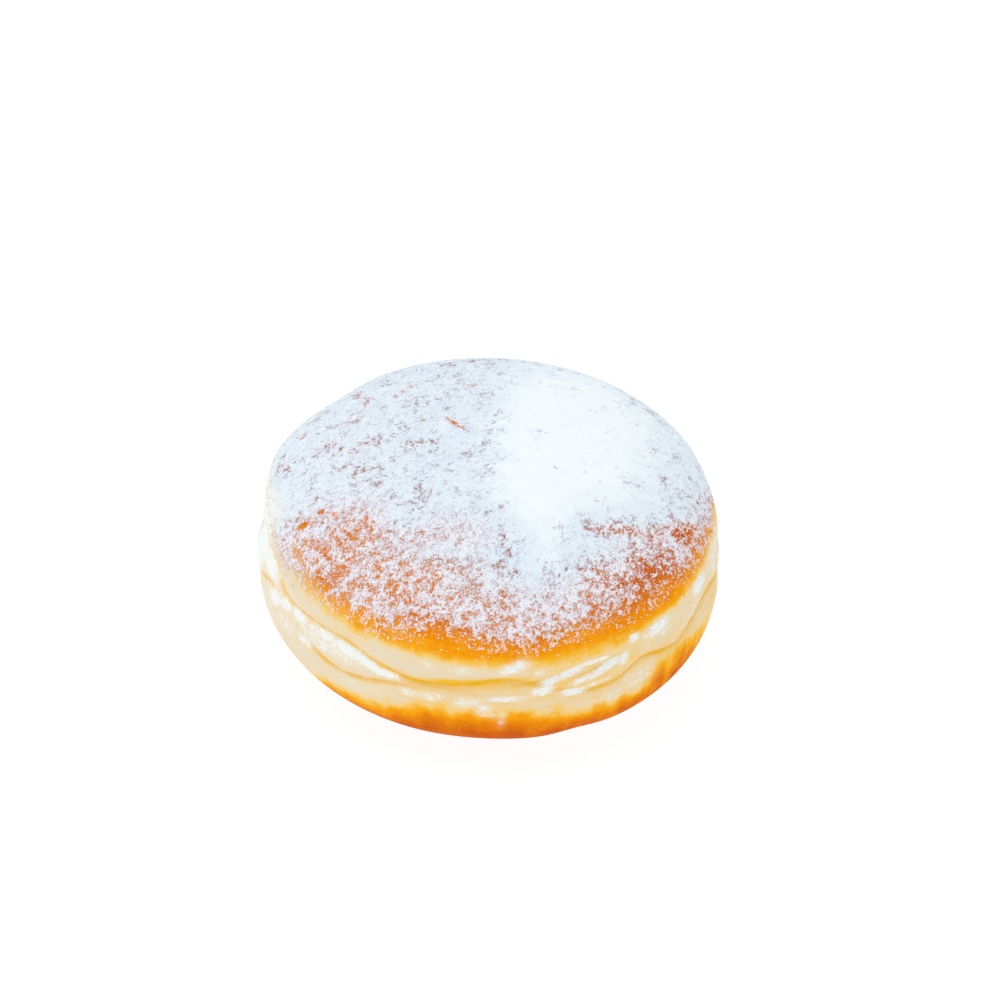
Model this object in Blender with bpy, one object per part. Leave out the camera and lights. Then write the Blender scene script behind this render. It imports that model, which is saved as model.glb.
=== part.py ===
"""A round fried doughnut without a hole, as one solid piece of dough.

The body is a plump cushion form, slightly oval seen from above, that rests on a small flat spot.
Two seams run round its waist, where the dough folded while it swelled, with upturned ledges
between them. The origin is on the table under the middle of the doughnut, and -Y is its front.
"""

import math

import bmesh
import bpy
import numpy as np

MM = 0.001

# Driving dimensions of the body, in metres.
RADIUS = 0.0450
WAIST_HEIGHT = 0.0228
TOP_RISE = 0.0238
BOTTOM_DROP = 0.0231
CROWN_RISE = 0.0025

# Roundness of the profile: 2 is an ellipse, and more is a squarer shoulder.
TOP_FULLNESS = 3.17
BOTTOM_FULLNESS = 2.94

# Outline seen from above: how far it departs from a circle, as shares of the radius.
OVAL_ALONG = 0.005
OVAL_ACROSS = -0.018
THREE_SIDED = -0.004

# Seams: azimuth in degrees from +X, height in mm, and how deep the seam is from 0 to 1.
UPPER_SEAM = (
    (-178, 29.2, 1.0), (-172, 31.6, 1.0), (-163, 32.0, 1.0), (-157, 30.6, 1.0), (-150, 27.8, 1.0),
    (-143, 27.6, 1.0), (-136, 27.6, 1.0), (-128, 27.6, 1.0), (-119, 25.6, 1.0), (-108, 23.9, 1.0),
    (-98, 24.6, 1.0), (-87, 26.5, 0.9), (-77, 25.6, 0.9), (-71, 27.2, 0.8), (-60, 27.7, 0.7),
    (-50, 27.8, 0.1), (-36, 28.4, 0.0), (-16, 29.2, 0.5), (6, 28.4, 0.9), (34, 29.2, 1.0),
    (64, 26.4, 0.9), (98, 27.0, 1.0), (126, 29.6, 1.0), (150, 29.6, 1.0), (168, 29.0, 1.0),
)
LOWER_SEAM = (
    (-176, 20.6, 1.0), (-169, 23.0, 1.0), (-163, 25.6, 0.9), (-157, 26.5, 0.7), (-151, 25.6, 0.6),
    (-143, 22.0, 0.5), (-136, 20.0, 0.9), (-130, 19.5, 1.0), (-124, 20.1, 1.0), (-118, 21.2, 0.9),
    (-112, 22.2, 0.5), (-98, 22.6, 0.1), (-84, 24.0, 0.1), (-74, 23.2, 0.6), (-65, 21.3, 0.8),
    (-57, 21.9, 0.8), (-51, 24.1, 0.9), (-43, 22.8, 1.0), (-38, 22.1, 1.0), (-33, 23.4, 1.0),
    (-28, 25.0, 1.0), (-20, 25.2, 1.0), (-8, 21.8, 1.0), (10, 22.2, 1.0), (36, 25.2, 0.8),
    (60, 24.6, 0.3), (92, 21.2, 0.8), (120, 23.0, 1.0), (148, 26.8, 0.8), (170, 22.4, 1.0),
)
SEAM_GAP = 1.5

# Cross section of a seam in mm: a sharp core with soft shoulders either side of it.
CORE_DEPTH = 0.5
CORE_WIDTH = 0.6
SHOULDER_DEPTH = 0.35
SHOULDER_WIDTH = 1.9

# The ledge between the seams, in mm: cut back under the upper seam, flush at the lower one.
LEDGE_DEPTH = 0.6
LEDGE_TURN = 0.15
LEDGE_ROOM = 7.0

# Swellings of the sides, and hollows where the swell is negative: azimuth and spread in degrees,
# height and spread and swell in mm.
SWELLINGS = (
    (-160, 22, 26.0, 3.0, 0.4),
    (-128, 22, 19.0, 3.0, 0.2),
    (-84, 20, 29.7, 3.0, 0.3),
    (-28, 20, 21.0, 4.0, 0.3),
    (48, 26, 19.0, 5.0, 0.4),
    (112, 24, 33.0, 4.5, 0.3),
    (138, 11, 39.0, 6.0, -0.75),
    (178, 10, 31.6, 3.4, -0.9),
    (-176, 8, 24.5, 2.2, 0.3),
    (-66, 7, 8.0, 4.0, -0.45),
    (-92, 16, 7.4, 4.0, -0.25),
    (-6, 8, 26.7, 2.5, 0.3),
    (11, 8, 34.0, 4.0, -0.3),
    (160, 6, 36.0, 3.0, 0.2),
    (173, 7, 27.6, 2.8, -0.8),
)

# A shallow dent in the crown: middle x and y, turn in degrees, half length and width, depth.
DENT_PLACE = (30.0, -20.5)
DENT_TURN = 26.0
DENT_LENGTH = 11.0
DENT_WIDTH = 3.2
DENT_DEPTH = 0.6

# Resolution of the solid: segments round it, and rings above, between and below the seams.
SEGMENTS = 120
RINGS_ABOVE = 20
RINGS_BETWEEN = 6
RINGS_BELOW = 19
CROWDING = 2.7
PROFILE_STEPS = 3000

CRUST_COLOUR = (0.80, 0.42, 0.12, 1.0)
CRUST_ROUGHNESS = 0.6


def around(points, column, azimuth):
    """Read one column of a closed row of points at any azimuth, along a smooth curve."""
    keys = np.array([point[0] for point in points], dtype=float)
    values = np.array([point[column] for point in points], dtype=float)
    keys = np.concatenate([keys[-2:] - 360, keys, keys[:2] + 360])
    values = np.concatenate([values[-2:], values, values[:2]])
    slopes = np.gradient(values, keys)
    turned = (azimuth - keys[1]) % 360 + keys[1]
    left = np.clip(np.searchsorted(keys, turned, side="right") - 1, 0, len(keys) - 2)
    width = keys[left + 1] - keys[left]
    t = (turned - keys[left]) / width
    rise = 3 * t**2 - 2 * t**3
    bend_left = (t - 2 * t**2 + t**3) * width * slopes[left]
    bend_right = (t**3 - t**2) * width * slopes[left + 1]
    return values[left] * (1 - rise) + values[left + 1] * rise + bend_left + bend_right


def seam_heights(azimuth):
    """Heights of the upper and the lower seam in mm, kept a little apart."""
    upper = around(UPPER_SEAM, 1, azimuth)
    lower = np.minimum(around(LOWER_SEAM, 1, azimuth), upper - SEAM_GAP)
    return upper, lower


def plan_radius(azimuth):
    """Radius of the outline seen from above."""
    angle = np.radians(azimuth)
    oval = OVAL_ALONG * np.cos(2 * angle) + OVAL_ACROSS * np.sin(2 * angle)
    return RADIUS * (1 + oval + THREE_SIDED * np.cos(3 * angle))


def turned_profile():
    """The upright profile from the crown to the base: length along it, reach and height."""
    angle = np.linspace(math.pi / 2, -math.pi / 2, PROFILE_STEPS)
    top = angle >= 0
    fullness = np.where(top, TOP_FULLNESS, BOTTOM_FULLNESS)
    reach = np.abs(np.cos(angle)) ** (2 / fullness)
    climb = np.abs(np.sin(angle)) ** (2 / fullness)
    crown = CROWN_RISE * (1 - reach**2) ** 2
    height = np.where(top, WAIST_HEIGHT + TOP_RISE * climb + crown, WAIST_HEIGHT - BOTTOM_DROP * climb)
    height = np.maximum(height, 0.0)
    steps = np.hypot(np.diff(reach * RADIUS), np.diff(height))
    length = np.concatenate([[0.0], np.cumsum(steps)])
    return length, reach, height


def groove(gap):
    """Depth of a seam in mm at a distance from its line in mm."""
    core = CORE_DEPTH * np.exp(-np.abs(gap) / CORE_WIDTH)
    return core + SHOULDER_DEPTH * np.exp(-((gap / SHOULDER_WIDTH) ** 2))


def bell(offset, spread):
    """A smooth hump of height 1."""
    return np.exp(-((offset / spread) ** 2))


def side_relief(azimuth, height):
    """How far the waist stands out, in mm, at an azimuth in degrees and a height in mm."""
    upper, lower = seam_heights(azimuth)
    upper_depth = np.clip(around(UPPER_SEAM, 2, azimuth), 0, 1)
    lower_depth = np.clip(around(LOWER_SEAM, 2, azimuth), 0, 1)
    relief = -np.maximum(upper_depth * groove(height - upper), lower_depth * groove(height - lower))
    room = upper - lower
    share = (upper - height) / room
    inside = np.clip(share / LEDGE_TURN, 0, 1) * np.clip(1 - share, 0, 1)
    relief -= LEDGE_DEPTH * np.clip(room / LEDGE_ROOM, 0, 1) * inside
    for middle, turn, level, spread, swell in SWELLINGS:
        offset = (azimuth - middle + 180) % 360 - 180
        relief += swell * bell(offset, turn) * bell(height - level, spread)
    return relief


def crown_relief(x, y):
    """Depth of the dent in the crown as a negative relief in mm, at x and y in mm."""
    turn = math.radians(DENT_TURN)
    east = x - DENT_PLACE[0]
    north = y - DENT_PLACE[1]
    along = east * math.cos(turn) + north * math.sin(turn)
    across = north * math.cos(turn) - east * math.sin(turn)
    return -DENT_DEPTH * bell(along, DENT_LENGTH) * bell(across, DENT_WIDTH)


def ring_places(count):
    """Places from 0 to 1 of evenly growing steps, crowded towards 0."""
    return np.expm1(CROWDING * np.arange(count + 1) / count) / math.expm1(CROWDING)


def ring_lengths(azimuth, length, height):
    """Lengths along the profile of all rings at one azimuth, with rings on both seams."""
    upper, lower = seam_heights(azimuth)
    downward = -height
    upper_length = np.interp(-upper * MM, downward, length)
    lower_length = np.interp(-lower * MM, downward, length)
    above = upper_length * (1 - ring_places(RINGS_ABOVE)[::-1])
    turn = np.linspace(0, math.pi, RINGS_BETWEEN + 1)
    between = upper_length + (lower_length - upper_length) * (1 - np.cos(turn)) / 2
    below = lower_length + (length[-1] - lower_length) * ring_places(RINGS_BELOW)
    return np.concatenate([above, between[1:], below[1:]])


def doughnut_surface(rings, azimuth, length, reach, height):
    """Points of the doughnut's surface at rows of profile lengths and azimuths."""
    radial = np.interp(rings, length, reach)
    level = np.interp(rings, length, height)
    lean = np.interp(rings, length, np.gradient(reach * RADIUS, length))
    drop = np.interp(rings, length, np.gradient(height, length))
    slant = np.maximum(np.hypot(lean, drop), 1e-9)
    angle = np.radians(azimuth)
    radius = plan_radius(azimuth) * radial
    relief = side_relief(azimuth, level / MM) * (level > 0)
    relief += crown_relief(radius * np.cos(angle) / MM, radius * np.sin(angle) / MM) * (level > WAIST_HEIGHT)
    radius = radius - drop / slant * relief * MM
    level = np.maximum(level + lean / slant * relief * MM, 0.0)
    return np.stack([radius * np.cos(angle), radius * np.sin(angle), level], axis=-1)


def make_doughnut(collection):
    """Shape a sphere's rings and segments into the doughnut."""
    rings = RINGS_ABOVE + RINGS_BETWEEN + RINGS_BELOW
    length, reach, height = turned_profile()
    sphere = bmesh.new()
    bmesh.ops.create_uvsphere(sphere, u_segments=SEGMENTS, v_segments=rings, radius=1.0)
    for vertex in sphere.verts:
        polar = math.acos(max(-1.0, min(1.0, vertex.co.z)))
        ring = round(polar / math.pi * rings)
        azimuth = math.degrees(math.atan2(vertex.co.y, vertex.co.x))
        run = ring_lengths(azimuth, length, height)[ring]
        place = doughnut_surface(np.array([run]), np.array([azimuth]), length, reach, height)[0]
        vertex.co = place.tolist()
    low = [min(vertex.co[axis] for vertex in sphere.verts) for axis in range(3)]
    high = [max(vertex.co[axis] for vertex in sphere.verts) for axis in range(3)]
    middle = (-(low[0] + high[0]) / 2, -(low[1] + high[1]) / 2, -low[2])
    bmesh.ops.translate(sphere, verts=sphere.verts, vec=middle)
    mesh = bpy.data.meshes.new("doughnut")
    sphere.to_mesh(mesh)
    sphere.free()
    mesh.shade_smooth()
    doughnut = bpy.data.objects.new("doughnut", mesh)
    collection.objects.link(doughnut)
    return doughnut


def make_crust_material():
    """Fried dough: golden brown and nearly matt."""
    material = bpy.data.materials.new("fried_crust")
    material.use_nodes = True
    shader = material.node_tree.nodes["Principled BSDF"]
    shader.inputs["Base Color"].default_value = CRUST_COLOUR
    shader.inputs["Roughness"].default_value = CRUST_ROUGHNESS
    shader.inputs["Metallic"].default_value = 0.0
    return material


def main():
    for thing in list(bpy.data.objects):
        bpy.data.objects.remove(thing, do_unlink=True)
    collection = bpy.data.collections.new("sugar_dusted_doughnut")
    bpy.context.scene.collection.children.link(collection)
    doughnut = make_doughnut(collection)
    doughnut.data.materials.append(make_crust_material())


main()
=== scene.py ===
"""A sugar dusted doughnut: fine dough, a layer of icing sugar, and loose grains and clumps of it.

The dough repeats the solid's shape rules at a finer step and adds small folds. Its stretch marks are
colour and bump, and the wrinkles of its base are colour alone.
Lengths and heights are in mm here, and meshes are scaled to metres.
"""

import math
from typing import NamedTuple

import bmesh
import bpy
import numpy as np
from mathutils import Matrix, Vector


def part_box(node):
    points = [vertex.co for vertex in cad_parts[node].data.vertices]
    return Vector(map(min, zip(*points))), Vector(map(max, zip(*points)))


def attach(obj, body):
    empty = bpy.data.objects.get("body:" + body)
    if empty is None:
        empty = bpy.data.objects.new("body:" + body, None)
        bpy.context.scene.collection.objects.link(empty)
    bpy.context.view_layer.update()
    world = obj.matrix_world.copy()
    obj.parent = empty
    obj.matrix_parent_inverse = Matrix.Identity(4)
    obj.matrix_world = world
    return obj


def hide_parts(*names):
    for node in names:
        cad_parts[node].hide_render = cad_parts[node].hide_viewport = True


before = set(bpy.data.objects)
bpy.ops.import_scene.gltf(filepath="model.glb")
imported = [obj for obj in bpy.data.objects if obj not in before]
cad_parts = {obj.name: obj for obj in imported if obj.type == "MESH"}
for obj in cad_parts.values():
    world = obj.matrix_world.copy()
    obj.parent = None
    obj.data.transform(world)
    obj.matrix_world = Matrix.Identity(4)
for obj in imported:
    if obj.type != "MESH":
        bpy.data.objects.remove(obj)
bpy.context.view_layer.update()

MM = 0.001

# Body of the doughnut, as in the solid, in mm.
RADIUS = 45.0
WAIST_HEIGHT = 22.8
TOP_RISE = 23.8
BOTTOM_DROP = 23.1
CROWN_RISE = 2.5
TOP_FULLNESS = 3.17
BOTTOM_FULLNESS = 2.94
OVAL_ALONG = 0.005
OVAL_ACROSS = -0.018
THREE_SIDED = -0.004

# Seams: azimuth in degrees from +X, height in mm, and how deep the seam is from 0 to 1.
UPPER_SEAM = (
    (-178, 29.2, 1), (-172, 31.6, 1), (-163, 32, 1), (-157, 30.6, 1), (-150, 27.8, 1),
    (-143, 27.6, 1), (-136, 27.6, 1), (-128, 27.6, 1), (-119, 25.6, 1), (-108, 23.9, 1),
    (-98, 24.6, 1), (-87, 26.5, 0.9), (-77, 25.6, 0.9), (-71, 27.2, 0.8), (-60, 27.7, 0.7),
    (-50, 27.8, 0.1), (-36, 28.4, 0), (-16, 29.2, 0.5), (6, 28.4, 0.9), (34, 29.2, 1),
    (64, 26.4, 0.9), (98, 27, 1), (126, 29.6, 1), (150, 29.6, 1), (168, 29, 1),
)
LOWER_SEAM = (
    (-176, 20.6, 1), (-169, 23, 1), (-163, 25.6, 0.9), (-157, 26.5, 0.7), (-151, 25.6, 0.6),
    (-143, 22, 0.5), (-136, 20, 0.9), (-130, 19.5, 1), (-124, 20.1, 1), (-118, 21.2, 0.9),
    (-112, 22.2, 0.5), (-98, 22.6, 0.1), (-84, 24, 0.1), (-74, 23.2, 0.6), (-65, 21.3, 0.8),
    (-57, 21.9, 0.8), (-51, 24.1, 0.9), (-43, 22.8, 1), (-38, 22.1, 1), (-33, 23.4, 1),
    (-28, 25, 1), (-20, 25.2, 1), (-8, 21.8, 1), (10, 22.2, 1), (36, 25.2, 0.8),
    (60, 24.6, 0.3), (92, 21.2, 0.8), (120, 23, 1), (148, 26.8, 0.8), (170, 22.4, 1),
)

# The seams' least distance apart, their sharp core and soft shoulders, and the ledge between them, all
# in mm but its turn, which is the share of the room where the ledge slopes.
SEAM_GAP = 1.5
CORE_DEPTH = 0.5
CORE_WIDTH = 0.6
SHOULDER_DEPTH = 0.35
SHOULDER_WIDTH = 1.9
LEDGE_DEPTH = 0.6
LEDGE_TURN = 0.15
LEDGE_ROOM = 7.0

# Swellings of the sides, and hollows where the swell is negative: azimuth, half length in degrees,
# height, half height, and swell in mm.
SWELLINGS = (
    (-160, 22, 26, 3, 0.4), (-128, 22, 19, 3, 0.2), (-84, 20, 29.7, 3, 0.3),
    (-28, 20, 21, 4, 0.3), (48, 26, 19, 5, 0.4), (112, 24, 33, 4.5, 0.3),
    (138, 11, 39, 6, -0.75), (178, 10, 31.6, 3.4, -0.9), (-176, 8, 24.5, 2.2, 0.3),
    (-66, 7, 8, 4, -0.45), (-92, 16, 7.4, 4, -0.25), (-6, 8, 26.7, 2.5, 0.3),
    (11, 8, 34, 4, -0.3), (160, 6, 36, 3, 0.2), (173, 7, 27.6, 2.8, -0.8),
)

# The dent in the crown, in mm and degrees.
DENT_PLACE = (30.0, -20.5)
DENT_TURN = 26.0
DENT_LENGTH = 11.0
DENT_WIDTH = 3.2
DENT_DEPTH = 0.6

# Fine folds that only show close up: azimuth, height, half length in degrees, tilt in mm for each
# degree, and depth in mm.
FINE_FOLDS = (
    (-63, 26, 7, 0.14, 0.45), (-79, 25, 6, -0.10, 0.30),
    (-104, 23.4, 9, 0.02, 0.25), (-30, 24, 8, 0.10, 0.30),
    (-147, 24.6, 6, -0.20, 0.25), (20, 26.6, 14, 0.05, 0.35),
    (80, 24.8, 13, -0.06, 0.35), (136, 25.6, 12, 0.08, 0.35),
)
FINE_FOLD_WIDTH = 0.35

# Edges of the browned crust: azimuth in degrees and height in mm.
CROWN_EDGE = (
    (-174, 37.6), (-162, 36.4), (-152, 33.6), (-147, 32.8), (-141, 32.0), (-128, 31.6), (-107, 31.1),
    (-77, 31.1), (-61, 31.5), (-40, 32.3), (-22, 32.4), (0, 32.6), (30, 34.0), (60, 33.0),
    (95, 34.2), (130, 34.0), (160, 36.0),
)
BASE_EDGE = (
    (-170, 9.0), (-159, 10.0), (-150, 11.2), (-140, 12.8), (-133, 14.6), (-127, 15.2), (-113, 17.2),
    (-103, 19.4), (-89, 19.4), (-75, 17.8), (-62, 17.0), (-52, 17.6), (-43, 20.4), (-30, 19.4),
    (-10, 16.5), (20, 16.0), (50, 18.0), (80, 15.5), (110, 17.5), (145, 12.0),
)

# Unevenness of those edges: size of the lumps, and how far they shift the edges, in mm. Drips and
# wrinkles run upright, and wrinkles are only at the right. All of it is colour.
RAGGED_SIZES = (2.2, 0.9)
SLOW_SIZE = 9.0
CROWN_SHIFTS = (1.0, 1.2)
BASE_SHIFTS = (1.4, 2.0)
DRIP_SIZES = (1.3, 3.1)
DRIP_STRETCH = 0.12
DRIP_SHIFT = 2.0
WRINKLE_SIZES = (1.0, 2.0)
WRINKLE_STRETCH = 0.30
WRINKLE_SHIFT = 3.3
WRINKLE_START = (-85, -50)
WRINKLE_END = (10, -10)
MM_PER_DEGREE = 0.785

# Browning from 0 for pale to 1 for the darkest: of the rim and the middle of the crown, and of the
# upper and the lower part of the base.
RIM_BROWN = 0.44
CROWN_BROWN = 0.26
BASE_BROWN = 0.46
LOW_BROWN = 0.50
WRINKLE_BROWN = 0.40
DRIP_BROWN = 0.16
SLOW_BROWN = 0.10

# Places with another browning: azimuth, half length in degrees, and how much browner.
DEEP_PLACE = (-30, 28, 0.22)
LIGHT_PLACE = (-52, 24, -0.22)
WARM_PLACE = (-58, 42, 0.10)

# Stretch marks: how often the fine ones change along a degree, and both kinds along a mm of height.
MARK_LENGTH = 0.16
MARK_FINENESS = 1.6
BROAD_SHARE = 0.7
BROAD_FINENESS = 0.6
MARK_TILT = 0.10
MARK_BROWN = 0.07
MARK_GOLD = 0.12

# How far the golden colour of the seams and of the small folds reaches, in mm, and how strong it is.
FOLD_SPREAD = 0.60
HALO_SPREAD = 1.5
HALO_GOLD = 0.4
FINE_FOLD_GOLD = 0.6

# Edge of the sugar on the crown: azimuth in degrees and height in mm.
SUGAR_EDGE = (
    (-175, 36.2), (-166, 35.4), (-159, 33.8), (-153, 32.6), (-146, 32.2), (-129, 32.2), (-111, 32.8),
    (-102, 35.2), (-95, 34.2), (-80, 33.3), (-64, 34.0), (-45, 34.3), (-35, 34.4), (-24, 34.0),
    (-10, 34.4), (0, 34.0), (30, 34.4), (60, 33.8), (95, 34.8), (130, 34.4), (160, 34.2), (174, 35.2),
)

# How far inwards from that edge the sugar is full, in mm at each azimuth, and how far out it strays.
SUGAR_FADE = (
    (-172, 2.8), (-155, 3.4), (-140, 5.2), (-125, 6.0), (-105, 6.0), (-80, 4.6), (-60, 5.4),
    (-40, 4.8), (-20, 3.2), (0, 2.6), (60, 2.6), (120, 2.6),
)
SUGAR_STRAY = 1.6

# Sugar on the crown, seen from above: x, y, half length and half width in mm, turn in degrees, and
# amount. It is added to the general share, and less than nothing thins it.
SUGAR_HEAPS = (
    (17, 6, 16, 26, 0, 0.42), (16, 4, 9, 16, 0, 0.30), (9, -18, 6, 12, 8, 0.34),
    (9, -31, 7, 5, 0, 0.24), (-1, -36, 9, 4, 0, 0.06), (-6, -14, 9, 6, 0, 0.10),
    (-15, -21, 5, 3, -30, 0.12), (30, -25, 6, 1.6, 32, 0.02), (37, 6, 5, 9, 0, 0.05),
    (-27, 2, 7, 12, 0, -0.05), (-26, -22, 6, 3, 20, -0.28), (-9, -29, 7, 2.2, -10, 0.12),
    (-31, -28, 4, 5, 0, -0.20), (-28, -15.5, 10, 3.5, 0, -0.11), (-37, -21, 4, 6, 0, -0.22),
    (-24, -36, 4, 3, 0, -0.22), (24, -21.5, 8, 1.3, 14, -0.30), (36, -16.5, 6.5, 1.3, 40, -0.36),
    (33, -27, 5, 8, -40, -0.19), (43, -8, 4, 9, 0, -0.18), (41, -19, 5, 4, -40, -0.36),
    (-14, -37, 4, 3, 0, -0.10), (24, -33, 7, 4, 30, -0.08), (31, -27.5, 6, 2.2, 38, -0.19),
    (38.5, -16.8, 4, 1.4, 50, -0.17), (27, -37, 5, 3, 35, -0.26), (0, -31, 9, 5, 0, 0.08),
    (18, -27, 6, 5, 0, 0.08), (-13, -25, 5, 3, 0, -0.06), (-6.5, 5.5, 2.6, 0.45, -50, -0.80),
    (-3.5, 19.5, 1.3, 1.0, 0, -0.30), (-1.5, 11, 0.8, 2.6, 0, -0.20), (-16.5, 19.5, 2.6, 0.9, 45, -0.20),
    (-24, 18, 1.4, 3, 0, -0.12), (-36.5, 11.5, 1, 1, 0, -0.25), (-35, -15.5, 0.9, 0.55, -30, -1.02),
    (-29.3, -16.1, 0.8, 0.6, 0, -0.70), (-31.8, -14.4, 0.8, 0.5, 20, -0.60),
)
SUGAR_SHARE = 0.90

# The share thins towards the front: from this y to this one, and by how much.
FRONT_FADE = (-10.0, -36.0, 0.26)

# Shares between which flecks go from loose to stray, and from loose to crowded, and the amounts
# between which the heap begins.
THINNING = (0.50, 0.20)
PACKING = (0.66, 0.86)
HEAP_AMOUNTS = (0.93, 1.36)

# Sizes in mm of the lumps that make up the speckle, and their weights in each kind of it.
SPECKLE_SIZES = (0.44, 0.85, 1.9)
SPARSE_WEIGHTS = (0.60, 0.40, 0.16)
LOOSE_WEIGHTS = (0.52, 0.44, 0.20)
PACKED_WEIGHTS = (0.60, 0.28, 0.12)
LOOSE_CLOUD_SIZE = 5.0
LOOSE_CLOUD_WEIGHT = 0.16
CLUSTER_SIZES = (2.6, 1.2)
CLUSTER_LEVELS = (0.38, 0.76)
CLUSTER_RANGE = (0.52, 0.72)

# How far the layer of sugar stands above the dough, in mm.
LAYER_BASE = 0.03
LAYER_EDGE = 0.07
LAYER_THICK = 0.05
LAYER_LUMPS = 0.13
LUMP_SIZES = (0.6, 2.0)

# Sugar on the waist: azimuth, height, half length in degrees, half height in mm, tilt in mm for
# each degree, and amount.
SUGAR_STREAKS = (
    (-150, 25.4, 28, 3.4, 0, 0.34), (-163, 21, 20, 5, 0, 0.30), (-125, 19, 12, 2.6, 0.1, 0.22),
    (-144, 33.2, 13, 1.8, 0, 0.16), (-177, 35, 13, 3.2, 0.1, 0.95), (-164, 34, 6, 1.6, 0.15, 0.5),
    (-150, 30.4, 5, 1, -0.3, 0.3), (-174, 28.8, 9, 4.4, 0.10, 1.4), (-162, 29.8, 6, 2, -0.10, 1.1),
    (-157, 24.4, 3.6, 2.4, 0.25, 1), (-151, 25.8, 3, 1.4, 0, 1), (-136, 24.6, 16, 2.8, 0, 0.55),
    (-145, 26.2, 3.4, 1.2, 0, 0.9), (-139, 26, 3, 0.9, 0, 0.7), (-135, 25.9, 3, 1.3, 0, 0.95),
    (-128, 25.5, 3.2, 1.3, -0.1, 1.25), (-122, 24.5, 4.6, 1, -0.22, 1.15), (-117, 23.7, 4, 0.7, -0.05, 1.2),
    (-143, 21.4, 2.6, 1.2, 0, 0.8), (-141, 23.6, 3, 1, 0, 0.6), (-152, 21, 7, 2.6, 0, 0.4),
    (-162, 20, 6, 4, 0, 0.35), (-110, 21, 3, 1, 0, 0.5), (-104, 21.2, 3.6, 1.2, 0, 0.55),
    (-95, 21, 4, 1.4, 0, 0.6), (-91, 19.4, 3, 1.7, -0.2, 0.55), (-87, 17.4, 0.9, 2.6, 0, 0.4),
    (-105, 28.8, 1.5, 1, 0, 0.4), (-96, 28.6, 2.5, 1, 0.1, 0.5), (-84, 29.8, 3.6, 1.3, 0.25, 0.8),
    (-78, 28.2, 1.5, 0.8, 0, 0.5), (-86, 22.2, 5, 0.7, 0, 0.7), (-77, 23.4, 2.8, 1, 0.1, 1.1),
    (-75, 25.4, 2.4, 0.9, 0.25, 0.9), (-70, 26.8, 3.8, 1, 0.22, 1), (-64, 27.9, 4.6, 0.7, 0.05, 0.95),
    (-67, 24.4, 3.2, 0.7, 0.20, 0.85), (-61, 25.6, 4.4, 0.9, 0.26, 1.05), (-56, 26.4, 1.6, 1.3, 0.3, 0.9),
    (-69, 21.9, 3.4, 0.8, -0.05, 1), (-63, 22.8, 3.4, 0.6, 0.10, 0.55), (-53, 30.2, 1.6, 0.9, 0, 0.9),
    (-49, 29.3, 2, 0.9, 0, 0.5), (-45.5, 29.6, 3.2, 1.3, 0.1, 1.1), (-43, 27.4, 2, 0.8, 0, 0.4),
    (-27, 30.4, 3.8, 1.7, 0, 1), (-13, 30, 9, 4.4, 0, 0.5), (-52, 20.2, 5, 2.6, 0, 0.36),
    (-36, 24, 6, 2.8, 0, 0.26), (-60, 18.6, 6, 1.8, 0, 0.26), (-30, 26, 5, 2.5, 0, 0.28),
    (4, 27, 9, 1.2, 0, 0.6), (24, 28, 8, 1, 0, 0.4), (47, 26.6, 12, 0.8, -0.04, 0.55),
    (52, 27.2, 4, 0.9, -0.1, 0.8), (72, 24.8, 9, 0.7, 0, 0.4), (88, 24.4, 13, 1.1, 0, 0.5),
    (84, 24.8, 4, 1.3, 0, 0.85), (107, 25.6, 11, 1.1, 0.08, 0.5), (112, 26.2, 3, 1.2, 0.1, 0.8),
    (128, 27.4, 12, 1.2, 0.08, 0.6), (133, 28, 4, 1.2, 0.1, 0.95), (147, 28.4, 8, 0.8, 0, 0.45),
    (163, 28, 9, 2, 0.1, 0.6),
)

# Golden places on the waist, where the dough is thin and moist, in the same order of values.
GOLDEN_PLACES = (
    (-99, 22, 16, 2.6, 0, 0.42), (-44, 19, 12, 3.5, 0, 0.30), (-97, 25.4, 8, 0.9, 0.05, 1.3),
    (-104, 24.4, 9, 0.7, 0.04, 1), (-97, 24.6, 13, 0.9, 0.03, 0.7), (-90, 26, 8, 1.2, 0.05, 0.75),
    (-84, 26.8, 5, 0.6, 0.02, 0.85), (-80, 25, 7, 0.9, 0, 0.6), (-71, 23.6, 12, 1.7, 0.10, 0.42),
    (-60, 21.8, 14, 2.4, 0, 0.34), (-70, 30.6, 24, 1, 0, 0.35), (-38, 22.6, 10, 3.4, 0, 0.45),
    (-18, 22.6, 9, 5, 0, 0.35), (-122, 26.6, 5, 1, -0.15, 0.3), (24, 24.6, 16, 2, 0, 0.5),
    (70, 25, 14, 1.2, 0, 0.6), (118, 25.6, 16, 1.4, 0.05, 0.5), (152, 27.6, 12, 1.4, 0, 0.5),
)

# How golden the very edge of the crown is: azimuth in degrees, and 0 for pale to 1 for amber.
EDGE_GOLD = (
    (-172, 0.05), (-157, 0.10), (-147, 0.25), (-136, 0.60), (-122, 1.0), (-80, 1.0), (-45, 1.0),
    (-25, 0.75), (-5, 0.45), (40, 0.5), (100, 0.6), (150, 0.4),
)

# Resolution of the dough: steps round it, and rings above, between and below the seams, which lie
# closer near a seam. The profile's steps and the normals' step in mm are for reading its shape.
DOUGH_SEGMENTS = 400
DOUGH_RINGS = (108, 40, 92)
CROWDING = 2.7
PROFILE_STEPS = 3000
NORMAL_STEP = 0.15

# Resolution and reach of the sugar's sheets, in mm. Above the dense share the step is doubled.
SUGAR_STEP = 0.24
SUGAR_REACH = 56.0
SUGAR_DENSE = 0.93

# Loose grains: the heights between which they are tried on the waist, the band inside the crown's
# edge where they thin out, and the sizes of their clusters and patches, all in mm.
WAIST_BAND = (14.0, 36.0)
RIM_BAND = (-1.5, 2.5)
GRAIN_CLUSTER_SIZE = 1.6
GRAIN_PATCH_SIZE = 0.9
GRAIN_SEED = 7

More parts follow.
